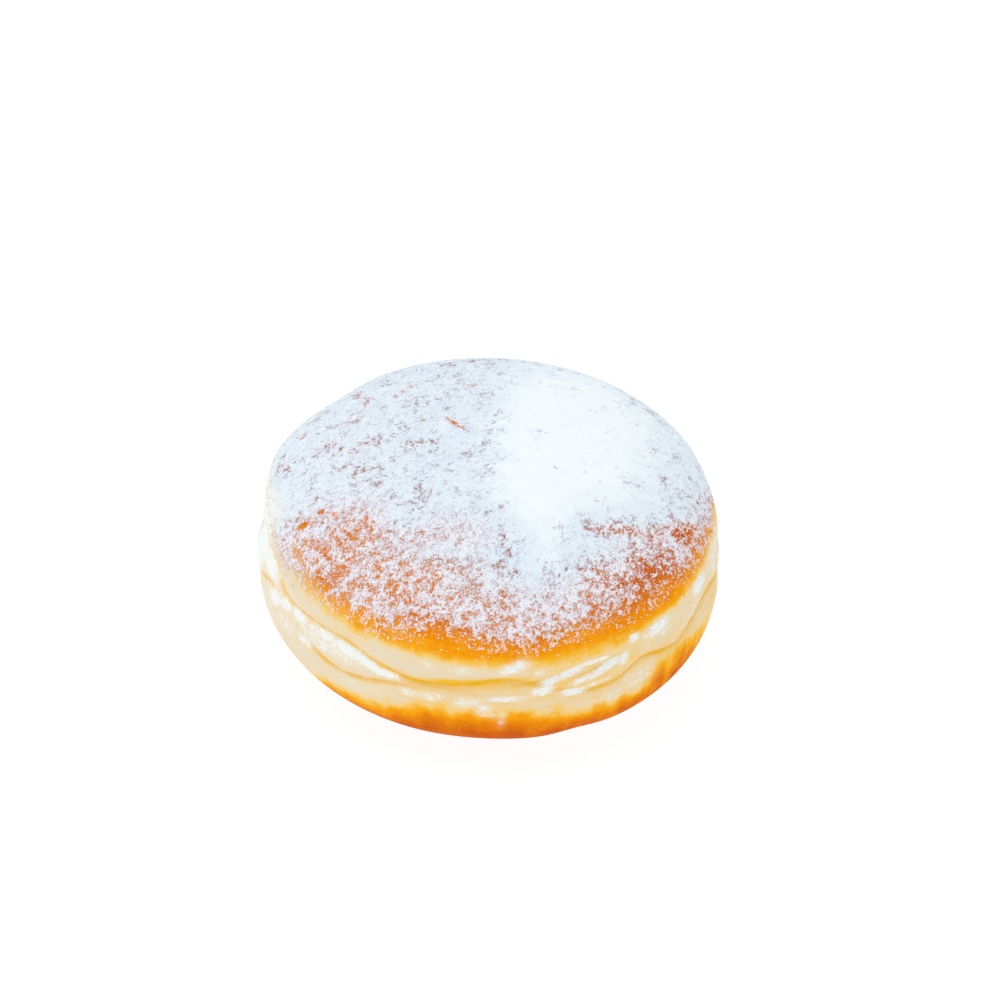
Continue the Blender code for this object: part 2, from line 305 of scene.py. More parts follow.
# The camera, set by the photograph, in mm and degrees.
VIEW_DISTANCE = 700.0
VIEW_ELEVATION = 38.0
VIEW_TARGET = (2.168, 0.0, 34.502)
VIEW_LENS = 129.45

# The light and the surroundings, in metres and watts.
LIGHT_PLACE_M = (-0.45, -0.10, 0.85)
LIGHT_AIM_M = (0.0, 0.0, 0.02)
LIGHT_SIZE_M = 0.7
LIGHT_POWER = 1.35
WORLD_STRENGTH = 0.90
FLOOR_GREY = 0.13
FLOOR_GLOW = 0.93
FLOOR_SIZE_M = 6.0

# Cells along each side of the block that the noise repeats.
LATTICE = 64


def tone(red, green, blue):
    """A screen colour, 0 to 255 a channel, as the linear colour that a shader takes."""
    share = np.array([red, green, blue]) / 255
    linear = np.where(share <= 0.04045, share / 12.92, ((share + 0.055) / 1.055) ** 2.4)
    return (*linear.tolist(), 1.0)


def smooth_step(low, high, value):
    """0 below low, 1 above high, and a smooth rise between them."""
    t = np.clip((value - low) / (high - low), 0, 1)
    return t * t * (3 - 2 * t)


def bell(offset, spread):
    """A smooth hump of height 1."""
    return np.exp(-((offset / spread) ** 2))


def turned_by(azimuth, middle):
    """Azimuth counted from a middle one, between -180 and 180 degrees."""
    return (azimuth - middle + 180) % 360 - 180


def around(points, column, azimuth):
    """Read one column of a closed row of points at any azimuth, along a smooth curve."""
    keys = np.array([point[0] for point in points], dtype=float)
    values = np.array([point[column] for point in points], dtype=float)
    keys = np.concatenate([keys[-2:] - 360, keys, keys[:2] + 360])
    values = np.concatenate([values[-2:], values, values[:2]])
    slopes = np.gradient(values, keys)
    turned = (azimuth - keys[1]) % 360 + keys[1]
    left = np.clip(np.searchsorted(keys, turned, side="right") - 1, 0, len(keys) - 2)
    width = keys[left + 1] - keys[left]
    t = (turned - keys[left]) / width
    rise = 3 * t**2 - 2 * t**3
    bend_left = (t - 2 * t**2 + t**3) * width * slopes[left]
    bend_right = (t**3 - t**2) * width * slopes[left + 1]
    return values[left] * (1 - rise) + values[left + 1] * rise + bend_left + bend_right


def lattice_noise(places, cell, seed):
    """Smooth noise from 0 to 1 in space, with lumps about one cell wide."""
    table = np.random.default_rng(seed).random((LATTICE, LATTICE, LATTICE))
    spot = places / cell
    corner = np.floor(spot).astype(int)
    part = spot - corner
    part = part * part * (3 - 2 * part)
    total = np.zeros(spot.shape[:-1])
    for dx in (0, 1):
        for dy in (0, 1):
            for dz in (0, 1):
                index = (corner + (dx, dy, dz)) % LATTICE
                weight = np.ones(spot.shape[:-1])
                for axis, step in enumerate((dx, dy, dz)):
                    weight = weight * (part[..., axis] if step else 1 - part[..., axis])
                total += weight * table[index[..., 0], index[..., 1], index[..., 2]]
    return total


def even_share(values):
    """The same order of values, spread evenly from 0 to 1."""
    order = np.argsort(values, axis=None)
    ranks = np.empty(values.size)
    ranks[order] = np.arange(values.size) / values.size
    return ranks.reshape(values.shape)


# Shape of the dough


def turned_profile():
    """The upright profile from the crown to the base: length along it, reach and height."""
    angle = np.linspace(math.pi / 2, -math.pi / 2, PROFILE_STEPS)
    top = angle >= 0
    fullness = np.where(top, TOP_FULLNESS, BOTTOM_FULLNESS)
    reach = np.abs(np.cos(angle)) ** (2 / fullness)
    climb = np.abs(np.sin(angle)) ** (2 / fullness)
    crown = CROWN_RISE * (1 - reach**2) ** 2
    height = np.where(top, WAIST_HEIGHT + TOP_RISE * climb + crown, WAIST_HEIGHT - BOTTOM_DROP * climb)
    height = np.maximum(height, 0.0)
    steps = np.hypot(np.diff(reach * RADIUS), np.diff(height))
    length = np.concatenate([[0.0], np.cumsum(steps)])
    return length, reach, height


LENGTH, REACH, HEIGHT = turned_profile()
LEAN = np.gradient(REACH * RADIUS, LENGTH)
DROP = np.gradient(HEIGHT, LENGTH)


def seam_heights(azimuth):
    """Heights of the upper and the lower seam, kept a little apart."""
    upper = around(UPPER_SEAM, 1, azimuth)
    lower = np.minimum(around(LOWER_SEAM, 1, azimuth), upper - SEAM_GAP)
    return upper, lower


def seam_depths(azimuth):
    """How deep the upper and the lower seam are, from 0 to 1."""
    upper = np.clip(around(UPPER_SEAM, 2, azimuth), 0, 1)
    lower = np.clip(around(LOWER_SEAM, 2, azimuth), 0, 1)
    return upper, lower


def plan_radius(azimuth):
    """Radius of the outline seen from above."""
    angle = np.radians(azimuth)
    oval = OVAL_ALONG * np.cos(2 * angle) + OVAL_ACROSS * np.sin(2 * angle)
    return RADIUS * (1 + oval + THREE_SIDED * np.cos(3 * angle))


def groove(gap):
    """Depth of a seam at a distance from its line."""
    core = CORE_DEPTH * np.exp(-np.abs(gap) / CORE_WIDTH)
    return core + SHOULDER_DEPTH * bell(gap, SHOULDER_WIDTH)


def fine_folds(azimuth, height):
    """The small folds: their strength from 0 to 1 and their depth."""
    strength = np.zeros_like(height)
    depth = np.zeros_like(height)
    for middle, level, half_length, tilt, deep in FINE_FOLDS:
        offset = turned_by(azimuth, middle)
        line = np.exp(-np.abs(height - level - tilt * offset) / FINE_FOLD_WIDTH)
        line = line * bell(offset, half_length)
        strength = np.maximum(strength, line)
        depth = np.maximum(depth, line * deep)
    return strength, depth


def side_relief(azimuth, height):
    """How far the waist stands out at an azimuth in degrees and a height."""
    upper, lower = seam_heights(azimuth)
    upper_depth, lower_depth = seam_depths(azimuth)
    relief = -np.maximum(upper_depth * groove(height - upper), lower_depth * groove(height - lower))
    room = upper - lower
    share = (upper - height) / room
    inside = np.clip(share / LEDGE_TURN, 0, 1) * np.clip(1 - share, 0, 1)
    relief -= LEDGE_DEPTH * np.clip(room / LEDGE_ROOM, 0, 1) * inside
    for middle, turn, level, spread, swell in SWELLINGS:
        relief += swell * bell(turned_by(azimuth, middle), turn) * bell(height - level, spread)
    return relief - fine_folds(azimuth, height)[1]


def crown_relief(x, y):
    """Depth of the dent in the crown as a negative relief, at x and y."""
    turn = math.radians(DENT_TURN)
    east = x - DENT_PLACE[0]
    north = y - DENT_PLACE[1]
    along = east * math.cos(turn) + north * math.sin(turn)
    across = north * math.cos(turn) - east * math.sin(turn)
    return -DENT_DEPTH * bell(along, DENT_LENGTH) * bell(across, DENT_WIDTH)


def surface(run, azimuth):
    """Points of the dough at lengths from the crown and azimuths."""
    level = np.interp(run, LENGTH, HEIGHT)
    lean = np.interp(run, LENGTH, LEAN)
    drop = np.interp(run, LENGTH, DROP)
    slant = np.maximum(np.hypot(lean, drop), 1e-9)
    angle = np.radians(azimuth)
    radius = plan_radius(azimuth) * np.interp(run, LENGTH, REACH)
    relief = side_relief(azimuth, level) * (level > 0)
    relief += crown_relief(radius * np.cos(angle), radius * np.sin(angle)) * (level > WAIST_HEIGHT)
    radius = radius - drop / slant * relief
    level = np.maximum(level + lean / slant * relief, 0.0)
    return np.stack([radius * np.cos(angle), radius * np.sin(angle), level], axis=-1)


def unrolled(u, v):
    """Point of the dough at a place on the surface spread flat around the crown."""
    return surface(np.hypot(u, v), np.degrees(np.arctan2(v, u)))


def unrolled_normals(u, v):
    """Directions out of the dough at places on the spread surface."""
    along = unrolled(u + NORMAL_STEP, v) - unrolled(u - NORMAL_STEP, v)
    across = unrolled(u, v + NORMAL_STEP) - unrolled(u, v - NORMAL_STEP)
    normals = np.cross(along, across)
    return normals / np.maximum(np.linalg.norm(normals, axis=-1, keepdims=True), 1e-12)


# Placing in the frame


def frame_shift():
    """Shift that brings the dough's own frame onto the solid's."""
    run, azimuth = dough_grid()
    points = surface(run, azimuth).reshape(-1, 3) * MM
    low, high = points.min(axis=0), points.max(axis=0)
    box_low, box_high = (np.array(corner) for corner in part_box("doughnut"))
    shift = (box_low + box_high) / 2 - (low + high) / 2
    shift[2] = box_low[2] - low[2]
    return shift


def add_piece(name, points, faces, material, values=None):
    """Make one piece of the scene from points in mm and index faces, and let it ride on the root."""
    mesh = bpy.data.meshes.new(name)
    mesh.from_pydata((points * MM + SHIFT).tolist(), [], faces)
    mesh.polygons.foreach_set("use_smooth", [True] * len(mesh.polygons))
    for key, column in (values or {}).items():
        mesh.attributes.new(key, "FLOAT", "POINT").data.foreach_set("value", column.astype(np.float32))
    mesh.update()
    piece = bpy.data.objects.new(name, mesh)
    bpy.context.scene.collection.objects.link(piece)
    piece.data.materials.append(material)
    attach(piece, "root")
    return piece


# Fields on the surface


def upright_noise(azimuth, height, sizes, stretch, layer, seeds):
    """Noise in streaks that run up the side, from -0.5 to 0.5."""
    flat_place = np.full_like(height, layer)
    places = np.stack([azimuth * MM_PER_DEGREE, height * stretch, flat_place], axis=-1)
    wide = lattice_noise(places, sizes[1], seeds[1])
    return 0.6 * lattice_noise(places, sizes[0], seeds[0]) + 0.4 * wide - 0.5


def extra_at(place, azimuth):
    """What one listed place adds at each azimuth."""
    middle, half_length, extra = place
    return extra * bell(turned_by(azimuth, middle), half_length)


def crust_brown(run, azimuth, places):
    """How browned the dough is at each point, from 0 to about 1."""
    height = np.interp(run, LENGTH, HEIGHT)
    coarse, fine = RAGGED_SIZES
    ragged = lattice_noise(places, coarse, 21) + 0.6 * lattice_noise(places, fine, 22) - 0.8
    slow = lattice_noise(places, SLOW_SIZE, 23) - 0.5
    drip = upright_noise(azimuth, height, DRIP_SIZES, DRIP_STRETCH, 0, (24, 27))
    wrinkle = upright_noise(azimuth, height, WRINKLE_SIZES, WRINKLE_STRETCH, 1, (28, 29))
    wrinkle *= smooth_step(*WRINKLE_START, azimuth) * smooth_step(*WRINKLE_END, azimuth)
    crown_run = np.interp(-around(CROWN_EDGE, 1, azimuth), -HEIGHT, LENGTH)
    base_run = np.interp(-around(BASE_EDGE, 1, azimuth), -HEIGHT, LENGTH)
    above = crown_run - run + CROWN_SHIFTS[0] * ragged + CROWN_SHIFTS[1] * slow
    below = run - base_run + BASE_SHIFTS[0] * ragged + BASE_SHIFTS[1] * slow
    below += DRIP_SHIFT * drip + WRINKLE_SHIFT * wrinkle
    edge = np.clip(around(EDGE_GOLD, 1, azimuth), 0, 1)
    rim = edge * smooth_step(-2.2, 2.0, above) + (1 - edge) * smooth_step(0.5, 6.0, above)
    middle = CROWN_BROWN + extra_at(DEEP_PLACE, azimuth)
    crown = RIM_BROWN * rim + middle * smooth_step(1.0, 9.0, above)
    low = LOW_BROWN + extra_at(LIGHT_PLACE, azimuth) + DRIP_BROWN * drip
    base = (BASE_BROWN + WRINKLE_BROWN * wrinkle) * smooth_step(-3.2, 3.6, below)
    base += low * smooth_step(0.5, 9.0, below)
    return np.maximum(crown, base) + extra_at(WARM_PLACE, azimuth) + SLOW_BROWN * slow


def stretch_marks(azimuth, height):
    """Fine long streaks of stretched dough round the waist, from -1 to 1."""
    tilt = MARK_TILT * smooth_step(-95, -60, azimuth) * smooth_step(0, -30, azimuth)
    along = azimuth * MARK_LENGTH
    level = height - tilt * (azimuth + 80)
    marks = np.stack([along, level * MARK_FINENESS, np.zeros_like(level)], axis=-1)
    broad = np.stack([along * BROAD_SHARE, level * BROAD_FINENESS, np.ones_like(level)], axis=-1)
    return lattice_noise(marks, 1.0, 35) + lattice_noise(broad, 1.0, 36) - 1.0


def heap_share(x, y):
    """Amount of sugar on the crown at places seen from above; above 1 it lies in a heap."""
    front = (FRONT_FADE[0] - y) / (FRONT_FADE[0] - FRONT_FADE[1])
    amount = SUGAR_SHARE - FRONT_FADE[2] * smooth_step(0, 1, front)
    for east, north, half_length, half_width, turn, extra in SUGAR_HEAPS:
        angle = math.radians(turn)
        along = (x - east) * math.cos(angle) + (y - north) * math.sin(angle)
        across = (y - north) * math.cos(angle) - (x - east) * math.sin(angle)
        amount = amount + extra * np.exp(-((along / half_length) ** 2) - (across / half_width) ** 2)
    return amount


def rim_share(run, azimuth):
    """How far the sugar keeps its full amount towards the crown's edge, from 0 to 1."""
    edge_run = np.interp(-around(SUGAR_EDGE, 1, azimuth), -HEIGHT, LENGTH)
    return smooth_step(-SUGAR_STRAY, around(SUGAR_FADE, 1, azimuth), edge_run - run)


def sugar_share(x, y, run, azimuth):
    """Share of the crown that sugar covers, from 0 to 1, at places seen from above."""
    return np.clip(heap_share(x, y), 0, 1) * rim_share(run, azimuth)


def smears(marks, azimuth, height):
    """Amount of sugar or of gold on the waist, as listed soft smears give it; 1 or more is full."""
    share = np.zeros_like(height)
    for middle, level, half_length, half_height, tilt, amount in marks:
        offset = turned_by(azimuth, middle)
        rise = height - level - tilt * offset
        spot = np.exp(-(np.abs(offset / half_length) ** 3) - np.abs(rise / half_height) ** 3)
        share = np.maximum(share, amount * spot)
    return share


# Pieces


def dough_grid():
    """Lengths and azimuths of the dough's points, with rings that follow both seams."""
    azimuth = -180 + 360 * np.arange(DOUGH_SEGMENTS) / DOUGH_SEGMENTS
    above, between, below = DOUGH_RINGS
    upper, lower = seam_heights(azimuth)
    upper_run = np.interp(-upper, -HEIGHT, LENGTH)[:, None]
    lower_run = np.interp(-lower, -HEIGHT, LENGTH)[:, None]
    crowd = math.expm1(CROWDING)
    above_share = np.expm1(CROWDING * np.arange(above, 0, -1) / above) / crowd
    below_share = np.expm1(CROWDING * np.arange(1, below + 1) / below) / crowd
    turn = (1 - np.cos(np.linspace(0, math.pi, between + 1))) / 2
    rows = np.concatenate(
        [
            upper_run * (1 - above_share),
            upper_run + (lower_run - upper_run) * turn,
            lower_run + (LENGTH[-1] - lower_run) * below_share,
        ],
        axis=1,
    )
    return rows, np.broadcast_to(azimuth[:, None], rows.shape)


def seam_colours(azimuth, height, points):
    """How golden the seams are, and how golden the dough beside them is, both from 0 to 1."""
    upper, lower = seam_heights(azimuth)
    upper_depth, lower_depth = seam_depths(azimuth)
    upper_gap, lower_gap = np.abs(height - upper), np.abs(height - lower)

    def along_seams(spread):
        return np.maximum(upper_depth * bell(upper_gap, spread), lower_depth * bell(lower_gap, spread))

    fold = along_seams(FOLD_SPREAD) * np.clip(0.35 + 1.1 * lattice_noise(points, 4.0, 28), 0, 1)
    fold = np.maximum(fold, FINE_FOLD_GOLD * fine_folds(azimuth, height)[0])
    halo = along_seams(HALO_SPREAD) * np.clip(1.6 * lattice_noise(points, 3.2, 25) - 0.3, 0, 1)
    return fold, halo


def make_dough(material):
    """The whole dough as one closed mesh that stands for the solid."""
    run, azimuth = dough_grid()
    points = surface(run, azimuth)
    height = np.interp(run, LENGTH, HEIGHT)
    marks = stretch_marks(azimuth, height)
    brown = crust_brown(run, azimuth, points) + MARK_BROWN * marks * smooth_step(13, 17, height)
    fold, halo = seam_colours(azimuth, height, points)
    gold = smears(GOLDEN_PLACES, azimuth, height) * (0.45 + lattice_noise(points, 1.6, 26))
    gold = np.clip(np.maximum(gold, HALO_GOLD * halo) + MARK_GOLD * np.maximum(marks, 0), 0, 1)
    film = sugar_share(points[..., 0], points[..., 1], run, azimuth)
    dust = smears(SUGAR_STREAKS, azimuth, height)
    columns, rings = run.shape
    lap = np.arange(columns)
    index = np.arange(columns * (rings - 2)).reshape(columns, rings - 2)
    quads = np.stack([index[lap, :-1], index[lap, 1:], index[lap - 1, 1:], index[lap - 1, :-1]], axis=-1)
    top, bottom = index.size, index.size + 1
    faces = quads.reshape(-1, 4)[:, ::-1].tolist()
    for here, before in zip(lap, lap - 1):
        faces.append([top, int(index[before, 0]), int(index[here, 0])])
        faces.append([bottom, int(index[here, -1]), int(index[before, -1])])

    def flat(field):
        """All rings but the end ones in a row, then one point for each end."""
        inner = field[:, 1:-1].reshape(-1, *field.shape[2:])
        return np.concatenate([inner, field[:1, 0], field[:1, -1]])

    fields = {"brown": brown, "fold": fold, "film": film, "dust": dust, "gold": gold, "marks": marks}
    values = {key: flat(field) for key, field in fields.items()}
    dough = add_piece("dough", flat(points), faces, material, values)
    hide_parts("doughnut")


def speckle_level(points, share):
    """The share of sugar above which each point is covered: stray, loose or crowded flecks."""
    tiny, small, middling = (lattice_noise(points, SPECKLE_SIZES[i], i + 1) for i in range(3))

    def weighted(weights):
        return weights[0] * tiny + weights[1] * small + weights[2] * middling

    cloud = LOOSE_CLOUD_WEIGHT * lattice_noise(points, LOOSE_CLOUD_SIZE, 4)
    wide, narrow = CLUSTER_SIZES
    clusters = 0.6 * lattice_noise(points, wide, 8) + 0.4 * lattice_noise(points, narrow, 9)
    cluster = CLUSTER_RANGE[0] + CLUSTER_RANGE[1] * smooth_step(*CLUSTER_LEVELS, clusters)
    sparse = even_share(weighted(SPARSE_WEIGHTS))
    loose = even_share(weighted(LOOSE_WEIGHTS) + cloud)
    packed = even_share(weighted(PACKED_WEIGHTS)) * cluster
    thinning = smooth_step(*THINNING, share)
    crowding = smooth_step(*PACKING, share)
    return sparse * thinning + loose * (1 - thinning - crowding) + packed * crowding


def make_sugar_layer(material):
    """The layer of icing sugar on the crown: thin sheets that stand proud where sugar lies.

    The speckled part has the fine step, and the heap where sugar covers nearly all has twice that.
    """
    count = 2 * int(SUGAR_REACH / SUGAR_STEP) + 1
    ticks = (np.arange(count) - (count - 1) / 2) * SUGAR_STEP
    u, v = np.meshgrid(ticks, ticks)
    run, azimuth = np.hypot(u, v), np.degrees(np.arctan2(v, u))
    points = unrolled(u, v)
    x, y = points[..., 0], points[..., 1]
    share = sugar_share(x, y, run, azimuth)
    excess = share - speckle_level(points, share)
    heap = smooth_step(*HEAP_AMOUNTS, heap_share(x, y)) * rim_share(run, azimuth)
    brown = crust_brown(run, azimuth, points)
    dust = smears(SUGAR_STREAKS, azimuth, np.interp(run, LENGTH, HEIGHT))
    lumps = lattice_noise(points, LUMP_SIZES[0], 5) + 0.9 * lattice_noise(points, LUMP_SIZES[1], 6)
    thick = np.tanh(np.maximum(excess, 0) / 0.40)
    rise = LAYER_BASE + LAYER_EDGE * np.tanh((excess + 0.25) / 0.25)
    rise += thick * (LAYER_THICK + LAYER_LUMPS * lumps)
    points = points + unrolled_normals(u, v) * rise[..., None]
    keep = (excess > -0.45) & (share > 0.01) & (run < SUGAR_REACH - 1)
    fields = {"excess": excess, "film": share, "heap": heap, "brown": brown, "dust": dust}
    index = np.arange(u.size).reshape(u.shape)
    dense = share[1:-1:2, 1:-1:2] > SUGAR_DENSE
    held = keep[:-1, :-1] & keep[:-1, 1:] & keep[1:, 1:] & keep[1:, :-1]
    speckled = held & ~np.repeat(np.repeat(dense, 2, axis=0), 2, axis=1)
    for name, step, chosen in (("sugar_heap", 2, dense), ("sugar_speckle", 1, speckled)):
        grid = index[::step, ::step]
        squares = np.stack([grid[:-1, :-1], grid[:-1, 1:], grid[1:, 1:], grid[1:, :-1]], axis=-1)
        faces = squares[chosen]
        used = np.unique(faces)
        place = np.full(u.size, -1)
        place[used] = np.arange(used.size)
        values = {key: field.ravel()[used] for key, field in fields.items()}
        add_piece(name, points.reshape(-1, 3)[used], place[faces].tolist(), material, values)


OCTAHEDRON = (
    np.array([(1, 0, 0), (-1, 0, 0), (0, 1, 0), (0, -1, 0), (0, 0, 1), (0, 0, -1)], dtype=float),
    np.array([(0, 2, 4), (2, 1, 4), (1, 3, 4), (3, 0, 4), (2, 0, 5), (1, 2, 5), (3, 1, 5), (0, 3, 5)]),
)


def ball(subdivisions):
    """Points and triangles of a ball of radius 1."""
    mesh = bpy.data.meshes.new("ball")
    shape = bmesh.new()
    bmesh.ops.create_icosphere(shape, subdivisions=subdivisions, radius=1.0)
    shape.to_mesh(mesh)
    shape.free()
    points = np.array([vertex.co for vertex in mesh.vertices])
    faces = np.array([polygon.vertices for polygon in mesh.polygons])
    bpy.data.meshes.remove(mesh)
    return points, faces


def random_turns(rng, count):
    """Random rotations, one matrix each."""
    quaternion = rng.normal(size=(count, 4))
    quaternion /= np.linalg.norm(quaternion, axis=1, keepdims=True)
    w, x, y, z = quaternion.T
    rows = [
        [1 - 2 * (y * y + z * z), 2 * (x * y - z * w), 2 * (x * z + y * w)],
        [2 * (x * y + z * w), 1 - 2 * (x * x + z * z), 2 * (y * z - x * w)],
        [2 * (x * z - y * w), 2 * (y * z + x * w), 1 - 2 * (x * x + y * y)],
    ]
    return np.moveaxis(np.array(rows), -1, 0)


def scatter(name, shape, rng, u, v, sizes, material, roughen, sink):
    """Copies of one small shape on the dough, joined into one piece."""
    corners, triangles = shape
    count = len(u)
    base = unrolled(u, v)
    normals = unrolled_normals(u, v)
    turned = np.einsum("nij,kj->nki", random_turns(rng, count), corners)
    stretch = rng.uniform(0.7, 1.2, size=(count, 1, 3))
    body = turned * stretch * sizes[:, None, None] / 2
    if roughen:
        body = body * (1 + roughen * rng.uniform(-1, 1, size=(count, len(corners), 1)))
    lift = sizes * (0.5 - sink)
    points = base[:, None, :] + normals[:, None, :] * lift[:, None, None] + body
    faces = triangles[None] + (np.arange(count) * len(corners))[:, None, None]
    add_piece(name, points.reshape(-1, 3), faces.reshape(-1, 3).tolist(), material)


def crown_spots(rng, tries):
    """Random places spread evenly over the crown, on the spread surface."""
    reach = SUGAR_REACH * np.sqrt(rng.random(tries))
    angle = rng.uniform(-math.pi, math.pi, tries)
    return reach * np.cos(angle), reach * np.sin(angle)


def waist_spots(rng, tries):
    """Random places on the waist, on the spread surface."""
    azimuth = rng.uniform(-180, 180, tries)
    height = rng.uniform(*WAIST_BAND, tries)
    run = np.interp(-height, -HEIGHT, LENGTH)
    return run * np.cos(np.radians(azimuth)), run * np.sin(np.radians(azimuth)), azimuth, height


def keep_crown(rng, u, v, gain, rim):
    """Choose crown places by the share of sugar there, and a few along the rim."""
    run, azimuth = np.hypot(u, v), np.degrees(np.arctan2(v, u))
    points = unrolled(u, v)
    share = sugar_share(points[:, 0], points[:, 1], run, azimuth)
    crown_run = np.interp(-around(CROWN_EDGE, 1, azimuth), -HEIGHT, LENGTH)
    near = rim * smooth_step(*RIM_BAND, crown_run - run)
    cluster = 0.3 + 1.4 * lattice_noise(points, GRAIN_CLUSTER_SIZE, 31) ** 2
    return rng.random(len(u)) < (gain * share * (1 - 0.5 * share) + near) * cluster


class GrainSort(NamedTuple):
    """One sort of loose grain: how many are tried, how likely they stay, and their sizes in mm.

    On the waist the chance goes with a power of the amount of sugar, and rises between two azimuths.
    Roughen is how uneven the grains are and sink how deep they sit, both as shares of their size.
    """

    name: str
    crown_tries: int
    crown_gain: float
    rim_gain: float
    waist_tries: int
    waist_gain: float
    waist_power: int
    waist_start: tuple
    patchy: bool
    sizes: tuple
    roughen: float
    sink: float


GRAIN_SORTS = (
    GrainSort(
        "sugar_grains_fine", 60000, 0.40, 0.09, 120000, 0.16, 1, (-108, -85), True,
        (0.16, 0.30), 0.0, 0.30,
    ),
    GrainSort(
        "sugar_grains", 30000, 0.13, 0.04, 30000, 0.06, 2, (-100.01, -100), False,
        (0.26, 0.42), 0.2, 0.30,
    ),
    GrainSort(
        "sugar_clumps", 4000, 0.04, 0.012, 6000, 0.02, 4, (-100.01, -100), False,
        (0.45, 0.80), 0.2, 0.35,
    ),
)


def make_grains(material):
    """Loose grains of sugar on the crown and on the waist, in three sizes."""
    rng = np.random.default_rng(GRAIN_SEED)
    for sort, shape in zip(GRAIN_SORTS, (OCTAHEDRON, ball(1), ball(2))):
        u, v = crown_spots(rng, sort.crown_tries)
        chosen = keep_crown(rng, u, v, sort.crown_gain, sort.rim_gain)
        waist_u, waist_v, azimuth, height = waist_spots(rng, sort.waist_tries)
        chance = sort.waist_gain * smears(SUGAR_STREAKS, azimuth, height) ** sort.waist_power
        chance *= smooth_step(*sort.waist_start, azimuth)
        if sort.patchy:
            patches = lattice_noise(unrolled(waist_u, waist_v), GRAIN_PATCH_SIZE, 33)
            chance *= 0.25 + 1.2 * patches
        settled = rng.random(len(waist_u)) < chance
        u = np.concatenate([u[chosen], waist_u[settled]])
        v = np.concatenate([v[chosen], waist_v[settled]])
        sizes = rng.uniform(*sort.sizes, len(u))
        scatter(sort.name, shape, rng, u, v, sizes, material, sort.roughen, sort.sink)


# Materials


class Nodes:
    """Adds shader nodes to one material and links them. Values may be numbers or other nodes' outputs."""

    def __init__(self, name):
        self.material = bpy.data.materials.new(name)
        self.material.use_nodes = True
        self.tree = self.material.node_tree
        self.shader = self.tree.nodes["Principled BSDF"]
        self.place = self.add("ShaderNodeTexCoord").outputs["Object"]

    def add(self, kind, **settings):
        node = self.tree.nodes.new(kind)
        for key, value in settings.items():
            setattr(node, key, value)
        return node

    def put(self, socket, value):
        if isinstance(value, bpy.types.NodeSocket):
            self.tree.links.new(value, socket)
        else:
            socket.default_value = value

    def noise(self, size, detail=2.0, rough=0.5):
        """Noise with lumps of a size in mm, from 0 to 1."""
        node = self.add("ShaderNodeTexNoise")
        self.put(node.inputs["Vector"], self.place)
        node.inputs["Scale"].default_value = 1000 / size
        node.inputs["Detail"].default_value = detail
        node.inputs["Roughness"].default_value = rough
        return node.outputs["Fac"]

    def ramp(self, value, low, high, to_low=0.0, to_high=1.0):
        """A value stretched from one range to another, and held at its ends."""
        node = self.add("ShaderNodeMapRange")
        for socket, number in zip(node.inputs[1:5], (low, high, to_low, to_high)):
            socket.default_value = number
        self.put(node.inputs["Value"], value)
        return node.outputs["Result"]

    def sway(self, value, amount):
        """The middle of a noise turned into a value from minus the amount to the amount."""
        return self.ramp(value, 0.3, 0.7, -amount, amount)

    def math(self, operation, first, second):
        node = self.add("ShaderNodeMath", operation=operation)
        self.put(node.inputs[0], first)
        self.put(node.inputs[1], second)
        return node.outputs[0]

    def plus(self, first, second):
        return self.math("ADD", first, second)

    def times(self, first, second):
        return self.math("MULTIPLY", first, second)

    def mix(self, share, first, second):
        """From the first colour to the second as the share goes from 0 to 1."""
        node = self.add("ShaderNodeMix", data_type="RGBA")
        self.put(node.inputs["Factor"], share)
        self.put(node.inputs[6], first)
        self.put(node.inputs[7], second)
        return node.outputs[2]

    def attribute(self, name):
        return self.add("ShaderNodeAttribute", attribute_name=name).outputs["Fac"]

    def colours(self, value, stops):
        """A colour read from stops at a value from 0 to 1."""
        node = self.add("ShaderNodeValToRGB")
        ramp = node.color_ramp
        while len(ramp.elements) < len(stops):
            ramp.elements.new(0.5)
        for element, (place, colour) in zip(ramp.elements, stops):
            element.position = place
            element.color = colour
        self.put(node.inputs["Fac"], value)
        return node.outputs["Color"]

    def finish(self, colour, roughness, normal):
        """Give the material its colour, roughness and relief, with a faint gloss."""
        inputs = self.shader.inputs
        self.put(inputs["Base Color"], colour)
        self.put(inputs["Roughness"], roughness)
        self.put(inputs["Normal"], normal)
        inputs["IOR"].default_value = FAINT_GLOSS_IOR
        return self.material

    def bump(self, height, strength, distance, after=None):
        """Normals of fine relief with a depth in mm, on top of other relief where it is given."""
        node = self.add("ShaderNodeBump")
        node.inputs["Strength"].default_value = strength
        node.inputs["Distance"].default_value = distance * MM
        self.put(node.inputs["Height"], height)
        if after is not None:
            self.put(node.inputs["Normal"], after)
        return node.outputs["Normal"]


# SUGAR_BRIGHT is the grains' lighter white, and on the heap it is also a painted highlight.
SUGAR_BRIGHT = tone(243, 251, 255)
SUGAR_LOOSE = tone(250, 240, 234)
SUGAR_CREAM = tone(242, 222, 212)
WAIST_SUGAR = tone(241, 246, 245)
THIN_DUST = tone(240, 234, 216)
DEEP_CRUST = tone(176, 90, 52)
GOLD = tone(246, 190, 34)
# The seams' golden colour, made brighter as a painted glow of light through the thin dough, which also
# offsets the shade in the grooves.
FOLD_GOLD_AND_GLOW = tone(240, 186, 40)
FAINT_GLOSS_IOR = 1.1

# Sizes in mm of the lumps that shaders show.
FLECK_SIZE = 0.38
POWDER_SIZE = 0.34
POWDER_CLOUD_SIZE = 1.0
CRUST_GRAIN_SIZE = 0.32
CRUST_SPOT_SIZE = 0.8
CRUST_BLOTCH_SIZE = 3.0
HEAP_PATCH_SIZE = 3.2
GRAIN_LUMP_SIZE = 0.30
GRAIN_TINT_SIZE = 2.6
PORE_SIZE = 0.45
PUCKER_SIZE = 2.4

# Shares between which sugar is crowded, for its colour.
CROWDED_SHARES = (0.66, 0.90)

